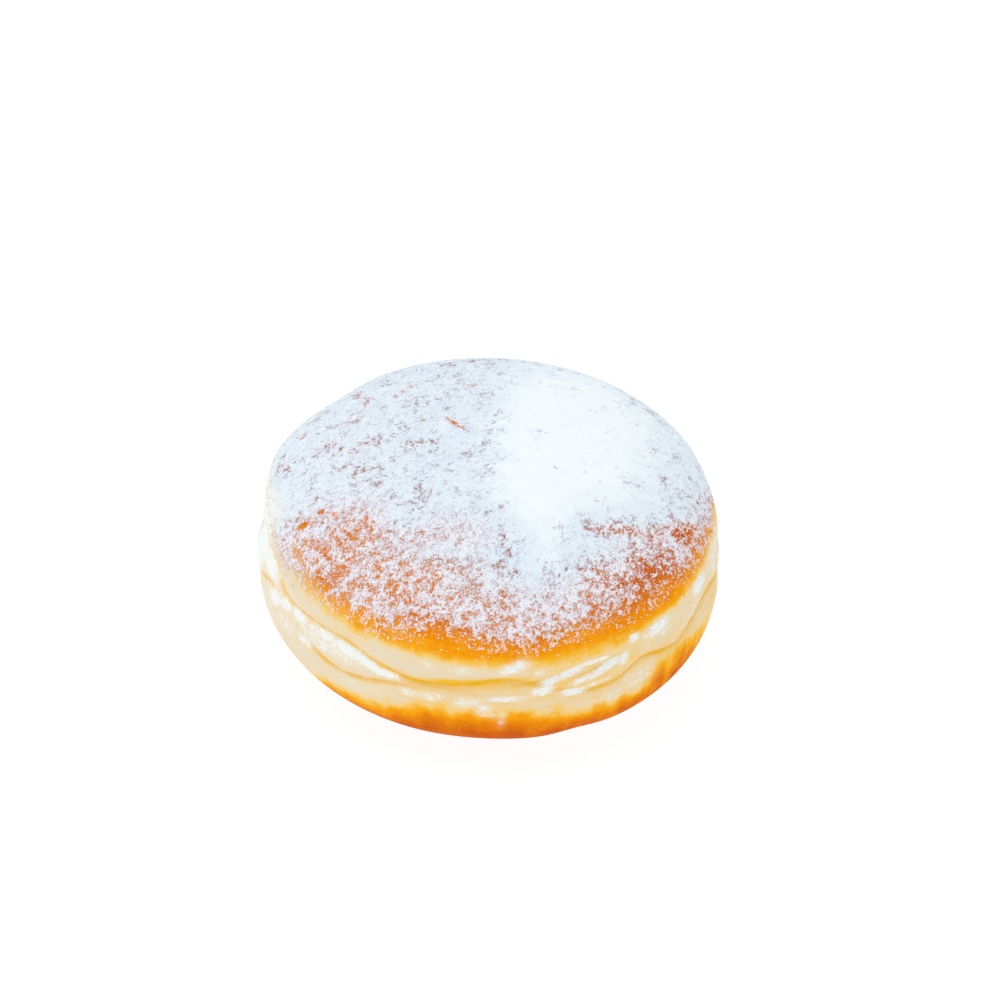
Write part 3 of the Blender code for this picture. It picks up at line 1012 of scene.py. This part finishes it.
# Colours of the crust, from pale to browned.
CRUST_STOPS = (
    (0.00, tone(234, 219, 191)),
    (0.14, tone(240, 214, 162)),
    (0.24, tone(248, 204, 108)),
    (0.38, tone(248, 174, 28)),
    (0.54, tone(245, 150, 10)),
    (0.72, tone(226, 122, 12)),
    (0.88, tone(216, 102, 6)),
    (1.00, tone(200, 88, 14)),
)

# Colours of loosely and of crowded sugar, from hardly any at the first level to full at the second. Both
# hold painted shade: the loose flecks' middle colours are darkened as shade at their edges, and the crowded
# sugar has grey pits of painted shadow and is a painted bluish-grey shade of white.
FLECK_LEVELS = (-0.50, 0.82)
FLECK_SHADE_STOPS = (
    (0.00, tone(212, 128, 56)),
    (0.06, tone(210, 143, 92)),
    (0.22, tone(210, 160, 137)),
    (0.36, tone(215, 185, 179)),
    (0.52, tone(224, 209, 214)),
    (0.71, tone(230, 223, 231)),
    (0.88, tone(235, 236, 243)),
    (1.00, tone(239, 243, 250)),
)
PIT_SHADE_STOPS = (
    (0.00, tone(192, 108, 62)),
    (0.10, tone(182, 128, 106)),
    (0.22, tone(182, 154, 154)),
    (0.35, tone(195, 188, 197)),
    (0.50, tone(208, 212, 223)),
    (0.66, tone(217, 226, 238)),
    (0.84, tone(224, 236, 246)),
    (1.00, tone(229, 241, 249)),
)


def crust_colour(paint):
    """Colour of the bare crust, uneven in small spots and in fine grain."""
    brown = paint.attribute("brown")
    spots = paint.sway(paint.noise(CRUST_SPOT_SIZE, 3.0, 0.6), 0.05)
    blotches = paint.sway(paint.noise(CRUST_BLOTCH_SIZE), 0.05)
    grain = paint.sway(paint.noise(CRUST_GRAIN_SIZE, 2.0, 0.6), 1.0)
    grain = paint.times(grain, paint.ramp(brown, 0.20, 0.60, 0.01, 0.075))
    uneven = paint.plus(paint.plus(paint.plus(brown, spots), blotches), grain)
    return paint.colours(uneven, CRUST_STOPS)


def sugared(paint, crust, level, share, fleck):
    """The crust under sugar: bare at low levels, tinted flecks above, and white at high ones.

    Stray flecks, where the share is small, are creamy and lie on clean crust.
    """
    place = paint.ramp(level, *FLECK_LEVELS)
    crowded = paint.ramp(share, *CROWDED_SHARES)
    # The fleck and pit colours carry painted shade: darker fleck edges, grey pits and a bluish-grey tint of
    # the crowded sugar.
    sugar = paint.mix(crowded, paint.colours(place, FLECK_SHADE_STOPS), paint.colours(place, PIT_SHADE_STOPS))
    dark = paint.ramp(paint.attribute("brown"), 0.78, 1.0, 0.0, 0.45)
    deep = paint.times(dark, paint.ramp(level, -0.3, 0.4, 1.0, 0.0))
    sugar = paint.mix(deep, sugar, DEEP_CRUST)
    filled = paint.plus(level, paint.times(crowded, 0.35))
    covered = paint.mix(paint.ramp(filled, -0.46, -0.28), crust, sugar)
    spotty = paint.plus(level, fleck)
    stray = paint.mix(paint.ramp(spotty, -0.10, 0.35), crust, SUGAR_CREAM)
    return paint.mix(paint.ramp(share, 0.15, 0.50), stray, covered)


def dusted(paint, colour):
    """Powder over the waist's colour: a smooth thin film, and patches where more lies."""
    amount = paint.attribute("dust")
    colour = paint.mix(paint.ramp(amount, 0.0, 0.9, 0.0, 0.70), colour, THIN_DUST)
    powder = paint.ramp(paint.noise(POWDER_SIZE, 3.0, 0.6), 0.0, 1.0, -1.0, 1.0)
    cloud = paint.ramp(paint.noise(POWDER_CLOUD_SIZE), 0.0, 1.0, -0.8, 0.8)
    dust = paint.plus(amount, paint.plus(powder, cloud))
    patchy = paint.times(paint.ramp(dust, 0.32, 0.86, 0.0, 0.97), paint.ramp(amount, 0.05, 0.30))
    return paint.mix(patchy, colour, WAIST_SUGAR)


def flecks(paint):
    """Noise of the finest flecks of sugar: from about -0.5 to 0.5, and from 0 to 1."""
    fine = paint.noise(FLECK_SIZE, 2.0, 0.65)
    return paint.ramp(fine, 0.25, 0.75, -0.55, 0.55), fine


def dough_material():
    """Fried dough: pale round the waist, golden at its edges and brown on the crown and the base."""
    paint = Nodes("fried_dough")
    colour = crust_colour(paint)
    colour = paint.mix(paint.ramp(paint.attribute("gold"), 0.0, 1.0, 0.0, 0.95), colour, GOLD)
    # Seams: their own golden colour, and partly a painted glow of light through the thin dough.
    colour = paint.mix(paint.ramp(paint.attribute("fold"), 0.06, 0.75, 0.0, 0.88), colour, FOLD_GOLD_AND_GLOW)
    share = paint.attribute("film")
    fleck, fine = flecks(paint)
    bare = paint.plus(paint.ramp(share, 0.0, 0.10, -1.0, 0.0), paint.ramp(share, 0.0, 1.0, -0.60, -0.40))
    colour = dusted(paint, sugared(paint, colour, paint.plus(bare, fleck), share, fleck))
    inputs = paint.shader.inputs
    inputs["Specular IOR Level"].default_value = 0.2
    inputs["Subsurface Weight"].default_value = 0.15
    inputs["Subsurface Radius"].default_value = (1.0, 0.5, 0.2)
    inputs["Subsurface Scale"].default_value = 1.2 * MM
    pores = paint.bump(paint.noise(PORE_SIZE, 3.0, 0.6), 0.35, 0.10)
    puckers = paint.bump(paint.noise(PUCKER_SIZE), 0.4, 0.25, pores)
    stretched = paint.bump(paint.attribute("marks"), 0.5, 0.20, puckers)
    return paint.finish(colour, paint.ramp(fine, 0.2, 0.8, 0.50, 0.70), stretched)


def sugar_layer_material():
    """Icing sugar in a layer: matt bluish white powder, which shows the crust in its gaps. Its heap is
    whitened, partly for the thicker sugar and partly as a painted pool of light.
    """
    paint = Nodes("icing_sugar_layer")
    share = paint.attribute("film")
    heap = paint.attribute("heap")
    fleck, fine = flecks(paint)
    finest = paint.times(fleck, paint.ramp(share, 0.66, 0.88, 1.7, 1.2))
    level = paint.plus(paint.attribute("excess"), finest)
    level = paint.plus(level, paint.ramp(heap, 0.0, 1.0, 0.0, 0.5))
    colour = sugared(paint, crust_colour(paint), level, share, fleck)
    # Painted highlight: the heap is mixed towards bright white, partly as thick sugar and partly as a
    # painted pool of light on the crown.
    patches = paint.sway(paint.noise(HEAP_PATCH_SIZE, 4.0, 0.62), 0.40)
    heaped_and_lit = paint.ramp(paint.plus(heap, patches), 0.0, 0.85)
    heap_white_and_painted_light = paint.times(heaped_and_lit, paint.ramp(level, 0.2, 0.5))
    colour = dusted(paint, paint.mix(heap_white_and_painted_light, colour, SUGAR_BRIGHT))
    return paint.finish(colour, paint.ramp(fine, 0.3, 0.7, 0.75, 0.95), paint.bump(level, 0.35, 0.10))


def sugar_grain_material():
    """Icing sugar in grains: matt white, a little uneven."""
    paint = Nodes("icing_sugar_grain")
    fine = paint.noise(GRAIN_LUMP_SIZE, 3.0, 0.7)
    tint = paint.ramp(paint.noise(GRAIN_TINT_SIZE), 0.35, 0.65)
    colour = paint.mix(tint, SUGAR_LOOSE, SUGAR_BRIGHT)
    return paint.finish(colour, paint.ramp(fine, 0.3, 0.7, 0.75, 0.95), paint.bump(fine, 0.3, 0.10))


def floor_material():
    """Plain pale ground."""
    paint = Nodes("pale_floor")
    inputs = paint.shader.inputs
    inputs["Base Color"].default_value = (FLOOR_GREY, FLOOR_GREY, FLOOR_GREY, 1.0)
    inputs["Roughness"].default_value = 0.9
    inputs["Specular IOR Level"].default_value = 0.0
    inputs["Emission Color"].default_value = (1.0, 1.0, 1.0, 1.0)
    inputs["Emission Strength"].default_value = FLOOR_GLOW
    return paint.material


# Studio


def make_floor():
    """A pale ground that takes the soft shadow."""
    bpy.ops.mesh.primitive_plane_add(size=FLOOR_SIZE_M, location=(0, 0, 0))
    floor = bpy.context.object
    floor.name = "floor"
    floor.data.materials.append(floor_material())


def make_camera():
    """The photograph's view."""
    data = bpy.data.cameras.new("camera")
    data.lens = VIEW_LENS
    camera = bpy.data.objects.new("camera", data)
    rise = math.radians(VIEW_ELEVATION)
    eye = np.array([0.0, -math.cos(rise), math.sin(rise)]) * VIEW_DISTANCE + np.array(VIEW_TARGET)
    camera.location = (eye * MM + np.array([SHIFT[0], SHIFT[1], 0.0])).tolist()
    camera.rotation_euler = (math.pi / 2 - rise, 0, 0)
    bpy.context.scene.collection.objects.link(camera)
    bpy.context.scene.camera = camera


def make_light():
    """A soft square light that faces the doughnut."""
    data = bpy.data.lights.new("key", "AREA")
    data.size = LIGHT_SIZE_M
    data.energy = LIGHT_POWER
    light = bpy.data.objects.new("key", data)
    light.location = LIGHT_PLACE_M
    aim = Vector(LIGHT_AIM_M) - Vector(LIGHT_PLACE_M)
    light.rotation_euler = aim.to_track_quat("-Z", "Y").to_euler()
    bpy.context.scene.collection.objects.link(light)


def make_world():
    """White surroundings."""
    world = bpy.data.worlds.new("studio")
    bpy.context.scene.world = world
    world.use_nodes = True
    background = world.node_tree.nodes["Background"].inputs
    background["Color"].default_value = (1.0, 1.0, 1.0, 1.0)
    background["Strength"].default_value = WORLD_STRENGTH


SHIFT = frame_shift()
make_camera()
make_world()
make_floor()
make_light()
bpy.context.scene.view_settings.view_transform = "Standard"

make_dough(dough_material())
make_sugar_layer(sugar_layer_material())
make_grains(sugar_grain_material())
